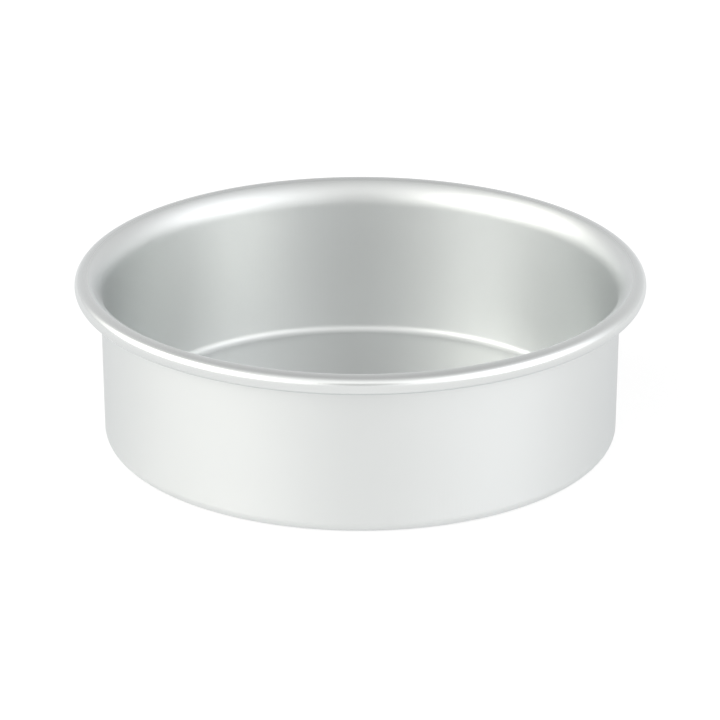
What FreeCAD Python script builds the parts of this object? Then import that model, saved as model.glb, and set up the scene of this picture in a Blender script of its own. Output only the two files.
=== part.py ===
"""Round cake tin, 6 in across and 2 in deep: one drawn aluminium sheet, floor to rolled rim,
and the steel wire hoop that the rim is rolled round.
The origin is the centre of the floor's underside, +Z up, millimetres."""

import FreeCAD
import Part
import math
import os

# Tin, measured on the faces that the cake touches
MOUTH_DIAMETER = 152.4      # inside, where the straight wall meets the flare
HEIGHT = 50.8               # from the surface that the tin stands on to the top of the rim
SHEET = 0.7                 # thickness of the drawn sheet
DRAFT = 0.4                 # degrees that the wall leans outwards, so that cakes slip out
CORNER_RADIUS = 2.6         # inside bend between the floor and the wall

# Wire hoop that stiffens the rim
WIRE_DIAMETER = 4.3
WIRE_CLEARANCE = 0.1        # between the wire and the sheet that is rolled round it
WIRE_END_GAP = 0.5          # between the two ends of the wire, which butt together unwelded

# Rolled rim: the wall flares out, then curls down and under round the wire into a bead
FLARE_RADIUS = 9.0          # upper face of the flare
FLARE_TURN = 53.0           # degrees turned from upright where the flare passes into the bead
CURL_TURN = 340.0           # degrees turned from upright where the curled sheet ends

LEVEL = 90.0                # degrees turned from upright by a level sheet
FULL_TURN = 360.0
CENTRE = FreeCAD.Vector(0, 0, 0)
AXIS = FreeCAD.Vector(0, 0, 1)

bead_bore = WIRE_DIAMETER / 2 + WIRE_CLEARANCE
bead_radius = bead_bore + SHEET


def normal(turn):
    """Unit vector, in the radial plane, out of the cake's side of a sheet turned this far from upright."""
    angle = math.radians(turn)
    return FreeCAD.Vector(-math.cos(angle), 0, math.sin(angle))


def along(turn):
    """Unit vector, in the radial plane, along a sheet turned this far from upright."""
    angle = math.radians(turn)
    return FreeCAD.Vector(math.sin(angle), 0, math.cos(angle))


def line(start, end):
    return Part.LineSegment(start, end).toShape()


def bend(centre, radius, first_turn, last_turn):
    """Arc of a bent sheet. The radius is negative where the cake's side is the hollow side."""
    turns = (first_turn, (first_turn + last_turn) / 2, last_turn)
    return Part.Arc(*[centre + normal(turn) * radius for turn in turns]).toShape()


# Centres of the rim's two bends, from the top down
rim_step = FLARE_RADIUS - bead_radius
flare_height = HEIGHT - bead_radius - normal(FLARE_TURN).z * rim_step
flare_centre = FreeCAD.Vector(MOUTH_DIAMETER / 2 - normal(DRAFT).x * FLARE_RADIUS, 0, flare_height)
bead_centre = flare_centre + normal(FLARE_TURN) * rim_step
wall_top = flare_centre + normal(DRAFT) * FLARE_RADIUS

# Foot of the wall, and the centre of the bend into the floor
wall_foot_height = SHEET + CORNER_RADIUS - normal(DRAFT).z * CORNER_RADIUS
wall_foot = wall_top - along(DRAFT) * ((wall_top.z - wall_foot_height) / along(DRAFT).z)
corner_centre = wall_foot + normal(DRAFT) * CORNER_RADIUS


def tin_shell():
    """One sheet: flat floor, corner, drafted wall, flare and bead, turned about the tin's axis."""
    floor_middle = AXIS * SHEET
    floor_edge = FreeCAD.Vector(corner_centre.x, 0, SHEET)
    under_floor = normal(LEVEL) * -SHEET
    behind_wall = normal(DRAFT) * -SHEET
    curl_end = normal(CURL_TURN)
    cake_side = [
        line(floor_middle, floor_edge),
        bend(corner_centre, -CORNER_RADIUS, LEVEL, DRAFT),
        line(wall_foot, wall_top),
        bend(flare_centre, FLARE_RADIUS, DRAFT, FLARE_TURN),
        bend(bead_centre, bead_radius, FLARE_TURN, CURL_TURN),
    ]
    cut_edge = line(bead_centre + curl_end * bead_radius, bead_centre + curl_end * bead_bore)
    back = [
        bend(bead_centre, bead_bore, CURL_TURN, FLARE_TURN),
        bend(flare_centre, FLARE_RADIUS - SHEET, FLARE_TURN, DRAFT),
        line(wall_top + behind_wall, wall_foot + behind_wall),
        bend(corner_centre, -CORNER_RADIUS - SHEET, DRAFT, LEVEL),
        line(floor_edge + under_floor, floor_middle + under_floor),
    ]
    middle = line(floor_middle + under_floor, floor_middle)
    section = Part.Face(Part.Wire([*cake_side, cut_edge, *back, middle]))
    return section.revolve(CENTRE, AXIS, FULL_TURN)


def rim_wire():
    """Round wire that fills the bead, bent to a hoop with its ends butted."""
    across = FreeCAD.Vector(0, 1, 0)
    section = Part.Face(Part.Wire(Part.Circle(bead_centre, across, WIRE_DIAMETER / 2).toShape()))
    hoop_turn = FULL_TURN - math.degrees(WIRE_END_GAP / bead_centre.x)
    return section.revolve(CENTRE, AXIS, hoop_turn)


def main():
    os.makedirs("parts", exist_ok=True)
    pieces = {"tin_shell": tin_shell(), "rim_wire": rim_wire()}
    for name, solid in pieces.items():
        solid.exportStep(f"parts/{name}.step")


main()
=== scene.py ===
import math

import bpy
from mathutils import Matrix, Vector


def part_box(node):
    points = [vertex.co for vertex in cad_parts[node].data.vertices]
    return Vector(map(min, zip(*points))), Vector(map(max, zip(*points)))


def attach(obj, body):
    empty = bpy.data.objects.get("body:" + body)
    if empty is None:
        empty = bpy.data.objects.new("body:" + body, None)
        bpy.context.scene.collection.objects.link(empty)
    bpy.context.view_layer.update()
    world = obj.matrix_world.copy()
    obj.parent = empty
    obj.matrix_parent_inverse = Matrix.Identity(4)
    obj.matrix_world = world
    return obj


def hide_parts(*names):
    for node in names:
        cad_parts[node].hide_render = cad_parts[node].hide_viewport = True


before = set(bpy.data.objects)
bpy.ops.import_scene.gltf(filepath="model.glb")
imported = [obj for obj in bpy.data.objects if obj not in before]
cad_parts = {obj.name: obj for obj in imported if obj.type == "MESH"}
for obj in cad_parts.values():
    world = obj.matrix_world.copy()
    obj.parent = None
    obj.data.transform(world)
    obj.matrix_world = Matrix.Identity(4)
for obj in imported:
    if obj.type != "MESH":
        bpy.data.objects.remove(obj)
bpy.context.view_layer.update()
scene = bpy.context.scene


# Wire hoop
# Galvanised steel wire, drawn round, bent to a hoop and cut so that its ends butt together unwelded.
# It lies hidden in the rim, which is rolled round it.
WIRE_END_GAP = 0.0005
HOOP_STEPS = 240
WIRE_STEPS = 24
ZINC_BRIGHT = (0.60, 0.61, 0.62, 1.0)
ZINC_DULL = (0.46, 0.47, 0.49, 1.0)
ZINC_ROUGHNESS = (0.32, 0.48)
SPANGLE_SIZE = 0.0016
COLOUR_A, COLOUR_B, COLOUR_RESULT = 6, 7, 2

wire_low, wire_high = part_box("rim_wire")
wire_radius = (wire_high[2] - wire_low[2]) / 2
hoop_radius = wire_high[0] - wire_radius
hoop_height = wire_high[2] - wire_radius


def add_node(tree, kind, inputs, **settings):
    """A new node with these settings. Its inputs are values, or the outputs of other nodes."""
    node = tree.nodes.new(kind)
    for name, value in settings.items():
        setattr(node, name, value)
    for socket, value in inputs.items():
        if isinstance(value, bpy.types.NodeSocket):
            tree.links.new(value, node.inputs[socket])
        else:
            node.inputs[socket].default_value = value
    return node


def new_shape_tree(name, sizes):
    """A tree that makes a shape, with named inputs, and those inputs as they come out of its first node."""
    tree = bpy.data.node_groups.new(name, "GeometryNodeTree")
    for size, kind in sizes.items():
        tree.interface.new_socket(size, in_out="INPUT", socket_type=kind)
    tree.interface.new_socket("Geometry", in_out="OUTPUT", socket_type="NodeSocketGeometry")
    return tree, add_node(tree, "NodeGroupInput", {}).outputs


def finish_shape_tree(tree, shape, material):
    """Ends a tree with real faces, all of one material."""
    real = add_node(tree, "GeometryNodeRealizeInstances", {"Geometry": shape})
    coated = add_node(tree, "GeometryNodeSetMaterial", {"Geometry": real.outputs[0], "Material": material})
    add_node(tree, "NodeGroupOutput", {"Geometry": coated.outputs[0]})


def make_piece(name, section, tree, sizes):
    """The plain mesh that a tree makes, as an object at the origin."""
    maker = bpy.data.objects.new(name + "_maker", section)
    scene.collection.objects.link(maker)
    modifier = maker.modifiers.new("shape", "NODES")
    modifier.node_group = tree
    for socket in tree.interface.items_tree:
        if socket.name in sizes:
            modifier[socket.identifier] = sizes[socket.name]
    shaped = maker.evaluated_get(bpy.context.evaluated_depsgraph_get())
    mesh = bpy.data.meshes.new_from_object(shaped)
    bpy.data.objects.remove(maker)
    piece = bpy.data.objects.new(name, mesh)
    scene.collection.objects.link(piece)
    return piece


def new_metal(name):
    """A bare metal's material, its tree, its shader and the place on the object of each point."""
    material = bpy.data.materials.new(name)
    material.use_nodes = True
    tree = material.node_tree
    shader = tree.nodes["Principled BSDF"]
    shader.inputs["Metallic"].default_value = 1.0
    place = add_node(tree, "ShaderNodeTexCoord", {}).outputs["Object"]
    return material, tree, shader, place


def mix_colours(tree, share, first, second):
    """A colour between two others. A Mix node has a set of sockets for each kind of value."""
    mix = add_node(tree, "ShaderNodeMix", {"Factor": share, COLOUR_A: first, COLOUR_B: second},
                   data_type="RGBA")
    return mix.outputs[COLOUR_RESULT]


def galvanised_steel():
    """Zinc crystals, each with its own brightness and shine."""
    material, tree, shader, place = new_metal("galvanised_steel")
    spangle = add_node(tree, "ShaderNodeTexVoronoi", {"Vector": place, "Scale": 1 / SPANGLE_SIZE})
    shade = add_node(tree, "ShaderNodeSeparateColor", {"Color": spangle.outputs["Color"]}).outputs[0]
    colour = mix_colours(tree, shade, ZINC_BRIGHT, ZINC_DULL)
    shine = add_node(tree, "ShaderNodeMapRange", {
        "Value": shade, "To Min": ZINC_ROUGHNESS[0], "To Max": ZINC_ROUGHNESS[1]})
    tree.links.new(colour, shader.inputs["Base Color"])
    tree.links.new(shine.outputs["Result"], shader.inputs["Roughness"])
    return material


def wire_hoop_tree():
    """A round section swept along an arc that stops short of a full turn."""
    tree, size = new_shape_tree("wire_hoop", {
        "Hoop Radius": "NodeSocketFloat", "Wire Radius": "NodeSocketFloat", "Place": "NodeSocketVector",
        "Turn": "NodeSocketFloat", "Steps Round": "NodeSocketInt", "Wire Steps": "NodeSocketInt",
        "Material": "NodeSocketMaterial"})
    arc = add_node(tree, "GeometryNodeCurveArc", {
        "Resolution": size["Steps Round"], "Radius": size["Hoop Radius"], "Sweep Angle": size["Turn"]})
    circle = add_node(tree, "GeometryNodeCurvePrimitiveCircle", {
        "Resolution": size["Wire Steps"], "Radius": size["Wire Radius"]})
    hoop = add_node(tree, "GeometryNodeCurveToMesh", {
        "Curve": arc.outputs[0], "Profile Curve": circle.outputs[0], "Fill Caps": True})
    placed = add_node(tree, "GeometryNodeTransform", {
        "Geometry": hoop.outputs[0], "Translation": size["Place"]})
    finish_shape_tree(tree, placed.outputs[0], size["Material"])
    return tree


rim_wire = make_piece("rim_wire_hoop", bpy.data.curves.new("no_section", "CURVE"), wire_hoop_tree(), {
    "Hoop Radius": hoop_radius, "Wire Radius": wire_radius, "Place": (0.0, 0.0, hoop_height),
    "Turn": 2 * math.pi - WIRE_END_GAP / hoop_radius, "Steps Round": HOOP_STEPS, "Wire Steps": WIRE_STEPS,
    "Material": galvanised_steel()})
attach(rim_wire, "root")
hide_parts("rim_wire")


# Tin shell
# One aluminium sheet, drawn to a straight-sided cup, then flared at the mouth and rolled round the wire.
# It is satin polished while it turns on a lathe and then anodised, so very fine lines run round it. The
# curling wheel leaves the bead smoother than the wall. Turns are in degrees, outwards from upright.
SHEET = 0.0007
WIRE_CLEARANCE = 0.0001
CORNER_RADIUS = 0.0026
FLARE_RADIUS = 0.009
DRAFT = 0.4
FLARE_TURN = 53.0
CURL_TURN = 340.0
LEVEL = 90.0
BEND_STEP = 4.0
RUN_STEPS = 8
RUN_MARGIN = 0.0002
SHELL_STEPS = 360
SHARP_EDGE = math.radians(40)
WELD = 1e-6
SHELL_MAP = "OFBake"
ALUMINIUM = (0.824, 0.840, 0.835, 1.0)
ALUMINIUM_SHADE = (0.805, 0.821, 0.816, 1.0)
ALUMINIUM_ASLANT = (0.91, 0.92, 0.93, 1.0)
# Painted shade: the floor inside the tin gets a darker colour, which fades in past the centre of its
# corner.
FLOOR_PAINTED_SHADE = 0.82
FLOOR_FADE = (0.0005, 0.0019)  # past the centre of the floor's corner
SATIN_ROUGHNESS = (0.38, 0.42)
BEAD_ROUGHNESS = 0.19
BEAD_FADE = (-1.3, 0.6)  # bead radii from the bead's centre
ACROSS_LINES = 0.7
LINE_TURN = 0.25  # of a full turn
LINE_PITCH = 0.00022
LINE_LENGTH = 0.05
LINE_DEPTH = 0.0000015
LINE_DETAIL = 2.0
CLOUD_SIZE = 0.02
CLOUD_DETAIL = 3.0

tin_low, tin_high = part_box("tin_shell")
bead_bore = wire_radius + WIRE_CLEARANCE
bead_radius = bead_bore + SHEET
floor_top = tin_low[2] + SHEET


def normal(turn):
    """Out of the cake's side of a sheet that is turned this far from upright, as radius and height."""
    return Vector((-math.cos(math.radians(turn)), 0, math.sin(math.radians(turn))))


def along(turn):
    """Up such a sheet, towards the rim."""
    return Vector((math.sin(math.radians(turn)), 0, math.cos(math.radians(turn))))


def bend(centre, radius, first_turn, last_turn):
    """Points of a bent sheet. The radius is negative where the cake's side is the hollow side."""
    steps = math.ceil(abs(last_turn - first_turn) / BEND_STEP)
    turns = [first_turn + (last_turn - first_turn) * step / steps for step in range(steps + 1)]
    return [centre + normal(turn) * radius for turn in turns]


def run(start, end):
    """Points of a straight run between two bends, close together where the bends begin."""
    margin = (end - start).normalized() * RUN_MARGIN
    return [(start + margin).lerp(end - margin, step / RUN_STEPS) for step in range(RUN_STEPS + 1)]


bead_centre = Vector((tin_high[0] - bead_radius, 0, hoop_height))
flare_centre = bead_centre - normal(FLARE_TURN) * (FLARE_RADIUS - bead_radius)
wall_top = flare_centre + normal(DRAFT) * FLARE_RADIUS
wall_foot_height = floor_top + CORNER_RADIUS - normal(DRAFT).z * CORNER_RADIUS
wall_foot = wall_top - along(DRAFT) * ((wall_top.z - wall_foot_height) / along(DRAFT).z)
corner_centre = wall_foot + normal(DRAFT) * CORNER_RADIUS
floor_middle = Vector((0, 0, floor_top))
floor_edge = Vector((corner_centre.x, 0, floor_top))
under_floor = normal(LEVEL) * -SHEET
behind_wall = normal(DRAFT) * -SHEET

shell_section = [
    floor_middle,
    *run(floor_middle, floor_edge),
    *bend(corner_centre, -CORNER_RADIUS, LEVEL, DRAFT),
    *run(wall_foot, wall_top),
    *bend(flare_centre, FLARE_RADIUS, DRAFT, FLARE_TURN),
    *bend(bead_centre, bead_radius, FLARE_TURN, CURL_TURN)[1:],
    *bend(bead_centre, bead_bore, CURL_TURN, FLARE_TURN),
    *bend(flare_centre, FLARE_RADIUS - SHEET, FLARE_TURN, DRAFT)[1:],
    *run(wall_top + behind_wall, wall_foot + behind_wall),
    *bend(corner_centre, -CORNER_RADIUS - SHEET, DRAFT, LEVEL),
    *run(floor_edge + under_floor, floor_middle + under_floor),
    floor_middle + under_floor,
]


def section_curve(name, points):
    """A line through these points, as a curve."""
    curve = bpy.data.curves.new(name, "CURVE")
    curve.dimensions = "3D"
    line = curve.splines.new("POLY")
    line.points.add(len(points) - 1)
    for point, place in zip(line.points, points):
        point.co = (*place, 1)
    return curve


def turned_sheet_tree():
    """A section turned about the upright axis: each row of a grid is one of its points, carried round.
    The surface's map has one direction round the axis and the other along the section."""
    tree, size = new_shape_tree("turned_sheet", {
        "Section": "NodeSocketGeometry", "Steps Round": "NodeSocketInt", "Weld": "NodeSocketFloat",
        "Sharp Edge": "NodeSocketFloat", "Map": "NodeSocketString", "Material": "NodeSocketMaterial"})
    section = size["Section"]
    count = add_node(tree, "GeometryNodeAttributeDomainSize", {"Geometry": section}, component="CURVE")
    columns = add_node(tree, "FunctionNodeIntegerMath", {0: size["Steps Round"], 1: 1}, operation="ADD")
    grid = add_node(tree, "GeometryNodeMeshGrid", {
        "Vertices X": count.outputs["Point Count"], "Vertices Y": columns.outputs[0]})
    index = add_node(tree, "GeometryNodeInputIndex", {})
    row, step = [
        add_node(tree, "FunctionNodeIntegerMath", {0: index.outputs[0], 1: columns.outputs[0]},
                 operation=part)
        for part in ("DIVIDE_FLOOR", "MODULO")]
    place = add_node(tree, "GeometryNodeInputPosition", {})
    point = add_node(tree, "GeometryNodeSampleIndex", {
        "Geometry": section, "Value": place.outputs[0], "Index": row.outputs[0]}, data_type="FLOAT_VECTOR")
    length = add_node(tree, "GeometryNodeSplineParameter", {})
    reach = add_node(tree, "GeometryNodeSampleIndex", {
        "Geometry": section, "Value": length.outputs["Factor"], "Index": row.outputs[0]}, data_type="FLOAT")
    share = add_node(tree, "ShaderNodeMath", {0: step.outputs[0], 1: size["Steps Round"]},
                     operation="DIVIDE")
    angle = add_node(tree, "ShaderNodeMath", {0: share.outputs[0], 1: 2 * math.pi}, operation="MULTIPLY")
    turned = add_node(tree, "ShaderNodeVectorRotate", {
        "Vector": point.outputs[0], "Angle": angle.outputs[0]}, rotation_type="Z_AXIS")
    placed = add_node(tree, "GeometryNodeSetPosition", {
        "Geometry": grid.outputs["Mesh"], "Position": turned.outputs[0]})
    flat_place = add_node(tree, "ShaderNodeCombineXYZ", {"X": share.outputs[0], "Y": reach.outputs[0]})
    by_point = add_node(tree, "GeometryNodeFieldOnDomain", {"Value": flat_place.outputs[0]},
                        data_type="FLOAT_VECTOR", domain="POINT")
    mapped = add_node(tree, "GeometryNodeStoreNamedAttribute", {
        "Geometry": placed.outputs[0], "Name": size["Map"], "Value": by_point.outputs[0]},
        data_type="FLOAT2", domain="CORNER")
    welded = add_node(tree, "GeometryNodeMergeByDistance", {
        "Geometry": mapped.outputs[0], "Distance": size["Weld"]})
    edge = add_node(tree, "GeometryNodeInputMeshEdgeAngle", {})
    sharp = add_node(tree, "FunctionNodeCompare", {
        "A": edge.outputs["Unsigned Angle"], "B": size["Sharp Edge"]}, operation="GREATER_THAN")
    creased = add_node(tree, "GeometryNodeSetShadeSmooth", {
        "Geometry": welded.outputs[0], "Selection": sharp.outputs[0], "Shade Smooth": False}, domain="EDGE")
    finish_shape_tree(tree, creased.outputs[0], size["Material"])
    return tree


def fade(tree, value, start, end):
    """Rises smoothly from 0 to 1 between these two values."""
    ramp = add_node(tree, "ShaderNodeMapRange", {"Value": value, "From Min": start, "From Max": end},
                    interpolation_type="SMOOTHSTEP")
    return ramp.outputs["Result"]


def satin_aluminium():
    """Lathe lines round the axis, finer than the eye picks out, on a pale surface whose floor inside has
    painted shade.
    """
    material, tree, shader, place = new_metal("satin_aluminium")
    parts = add_node(tree, "ShaderNodeSeparateXYZ", {"Vector": place}).outputs
    flat = add_node(tree, "ShaderNodeCombineXYZ", {"X": parts["X"], "Y": parts["Y"]}).outputs[0]
    radius = add_node(tree, "ShaderNodeVectorMath", {0: flat}, operation="LENGTH").outputs["Value"]
    reach = add_node(tree, "ShaderNodeMath", {0: radius, 1: parts["Z"]}, operation="ADD")
    fine = add_node(tree, "ShaderNodeMath", {0: reach.outputs[0], 1: 1 / LINE_PITCH}, operation="MULTIPLY")
    slow = add_node(tree, "ShaderNodeVectorMath", {0: flat, "Scale": 1 / LINE_LENGTH}, operation="SCALE")
    slow_parts = add_node(tree, "ShaderNodeSeparateXYZ", {"Vector": slow.outputs[0]}).outputs
    stretched = add_node(tree, "ShaderNodeCombineXYZ", {
        "X": slow_parts["X"], "Y": slow_parts["Y"], "Z": fine.outputs[0]})
    lines = add_node(tree, "ShaderNodeTexNoise", {
        "Vector": stretched.outputs[0], "Scale": 1.0, "Detail": LINE_DETAIL})
    clouds = add_node(tree, "ShaderNodeTexNoise", {
        "Vector": place, "Scale": 1 / CLOUD_SIZE, "Detail": CLOUD_DETAIL})
    colour = mix_colours(tree, clouds.outputs["Fac"], ALUMINIUM, ALUMINIUM_SHADE)
    shine = add_node(tree, "ShaderNodeMapRange", {
        "Value": lines.outputs["Fac"], "To Min": SATIN_ROUGHNESS[0], "To Max": SATIN_ROUGHNESS[1]})
    in_bead = fade(tree, radius, *[bead_centre.x + share * bead_radius for share in BEAD_FADE])
    polished = add_node(tree, "ShaderNodeMix", {
        "Factor": in_bead, "A": shine.outputs["Result"], "B": BEAD_ROUGHNESS})
    # Painted shade: the floor inside the tin is darkened in its colour, standing in for the shade and
    # darker reflections in its hollow.
    past_floor = fade(tree, radius, *[corner_centre.x + distance for distance in FLOOR_FADE])
    floor_shade = add_node(tree, "ShaderNodeMapRange", {"Value": past_floor, "To Min": FLOOR_PAINTED_SHADE})
    shaded_colour = add_node(tree, "ShaderNodeVectorMath", {
        0: colour, "Scale": floor_shade.outputs["Result"]}, operation="SCALE")
    relief = add_node(tree, "ShaderNodeBump", {"Distance": LINE_DEPTH, "Height": lines.outputs["Fac"]})
    round_axis = add_node(tree, "ShaderNodeTangent", {}, direction_type="UV_MAP", uv_map=SHELL_MAP)
    tree.links.new(shaded_colour.outputs[0], shader.inputs["Base Color"])
    tree.links.new(polished.outputs["Result"], shader.inputs["Roughness"])
    tree.links.new(relief.outputs["Normal"], shader.inputs["Normal"])
    tree.links.new(round_axis.outputs["Tangent"], shader.inputs["Tangent"])
    shader.inputs["Specular Tint"].default_value = ALUMINIUM_ASLANT
    shader.inputs["Anisotropic"].default_value = ACROSS_LINES
    shader.inputs["Anisotropic Rotation"].default_value = LINE_TURN
    return material


shell_line = section_curve("shell_section", shell_section)
tin_shell = make_piece("tin_shell_sheet", shell_line, turned_sheet_tree(), {
    "Steps Round": SHELL_STEPS, "Weld": WELD, "Sharp Edge": SHARP_EDGE, "Map": SHELL_MAP,
    "Material": satin_aluminium()})
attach(tin_shell, "root")
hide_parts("tin_shell")


# Paper floor
# A wide sheet of matt white paper that the tin stands on, pale enough to pass for the background. It glows
# a little, by one amount to the camera and by another in the metal.
FLOOR_SIZE = 12.0
PAPER = (0.35, 0.35, 0.35, 1.0)
PAPER_SEEN = 0.73
PAPER_IN_METAL = 0.57

half = FLOOR_SIZE / 2
corners = [(-half, -half, 0), (half, -half, 0), (half, half, 0), (-half, half, 0)]
floor_mesh = bpy.data.meshes.new("floor")
floor_mesh.from_pydata(corners, [], [(0, 1, 2, 3)])
floor = bpy.data.objects.new("floor", floor_mesh)
scene.collection.objects.link(floor)
paper = bpy.data.materials.new("white_paper")
paper.use_nodes = True
paper.node_tree.nodes.clear()
path = add_node(paper.node_tree, "ShaderNodeLightPath", {}).outputs
in_metal = add_node(paper.node_tree, "ShaderNodeMath", {
    0: path["Is Glossy Ray"], 1: PAPER_IN_METAL}, operation="MULTIPLY")
glow = add_node(paper.node_tree, "ShaderNodeMath", {
    0: path["Is Camera Ray"], 1: PAPER_SEEN, 2: in_metal.outputs[0]}, operation="MULTIPLY_ADD")
lit = add_node(paper.node_tree, "ShaderNodeBsdfDiffuse", {"Color": PAPER})
shining = add_node(paper.node_tree, "ShaderNodeEmission", {"Strength": glow.outputs[0]})
both = add_node(paper.node_tree, "ShaderNodeAddShader", {0: lit.outputs[0], 1: shining.outputs[0]})
add_node(paper.node_tree, "ShaderNodeOutputMaterial", {"Surface": both.outputs[0]})
floor_mesh.materials.append(paper)


# Light
# A grey studio, darker towards the ceiling, with three soft lights: a large one at each side of the tin,
# the left one a little warmer, and a wide band above the camera. The gap round the camera is darker.
ROOM_WALLS = 0.84
ROOM_CEILING = 0.53
SOFT_LIGHTS = {
    "left": {"azimuth": -73.0, "elevation": 25.0, "width": 33.0, "height": 13.0, "edge": 0.78,
             "light": (2.92, 2.88, 2.66)},
    "right": {"azimuth": 70.0, "elevation": 20.0, "width": 28.0, "height": 23.0, "edge": 0.98,
              "light": (1.14, 1.15, 1.18)},
    "above": {"azimuth": -14.0, "elevation": 40.0, "width": 85.0, "height": 27.0, "edge": 0.77,
              "light": (0.53, 0.53, 0.52)},
    "camera gap": {"azimuth": 0.0, "elevation": 21.0, "width": 15.0, "height": 9.0, "edge": 0.50,
                   "light": (-0.56, -0.56, -0.56)},
}


def soft_light(tree, way, azimuth, elevation, width, height, edge, light, rest):
    """Adds an oval light that fades out over its edge. Width and height are from its middle, in degrees."""
    facing = add_node(tree, "ShaderNodeVectorRotate", {
        "Vector": way, "Rotation": (-math.radians(elevation), 0.0, math.radians(azimuth))},
        rotation_type="EULER_XYZ", invert=True)
    oval = add_node(tree, "ShaderNodeVectorMath", {0: facing.outputs[0], 1: (
        1 / math.sin(math.radians(width)), 0.0, 1 / math.sin(math.radians(height)))}, operation="MULTIPLY")
    offset = add_node(tree, "ShaderNodeVectorMath", {0: oval.outputs[0]}, operation="LENGTH")
    depth = add_node(tree, "ShaderNodeSeparateXYZ", {"Vector": facing.outputs[0]}).outputs["Y"]
    ahead = add_node(tree, "ShaderNodeMath", {0: depth, 1: 0.0}, operation="LESS_THAN")
    inside = fade(tree, offset.outputs["Value"], 1 + edge, 1 - edge)
    shape = add_node(tree, "ShaderNodeMath", {0: inside, 1: ahead.outputs[0]}, operation="MULTIPLY")
    return add_node(tree, "ShaderNodeVectorMath", {
        0: shape.outputs[0], 1: light, 2: rest}, operation="MULTIPLY_ADD").outputs[0]


scene.world = bpy.data.worlds.new("studio")
scene.world.use_nodes = True
studio = scene.world.node_tree
way = add_node(studio, "ShaderNodeTexCoord", {}).outputs["Generated"]
climb = add_node(studio, "ShaderNodeSeparateXYZ", {"Vector": way}).outputs["Z"]
brightness = add_node(studio, "ShaderNodeMapRange", {
    "Value": climb, "To Min": ROOM_WALLS, "To Max": ROOM_CEILING}).outputs["Result"]
for light in SOFT_LIGHTS.values():
    brightness = soft_light(studio, way, **light, rest=brightness)
studio.links.new(brightness, studio.nodes["Background"].inputs["Color"])


# Camera
# A long lens that looks down at the tin from in front, with the tin's middle in the middle of the picture.
LENS = 179.85
SENSOR = 36.0
VIEW_TILT = 22.31
VIEW_DISTANCE = 1.0753
VIEW_AIM = Vector((-0.00012, 0, 0.0217))

tilt = math.radians(VIEW_TILT)
camera = bpy.data.cameras.new("camera")
camera.lens = LENS
camera.sensor_width = SENSOR
scene.camera = bpy.data.objects.new("camera", camera)
scene.camera.location = VIEW_AIM + Vector((0, -math.cos(tilt), math.sin(tilt))) * VIEW_DISTANCE
scene.camera.rotation_euler = (math.pi / 2 - tilt, 0.0, 0.0)
scene.collection.objects.link(scene.camera)
scene.view_settings.view_transform = "Standard"
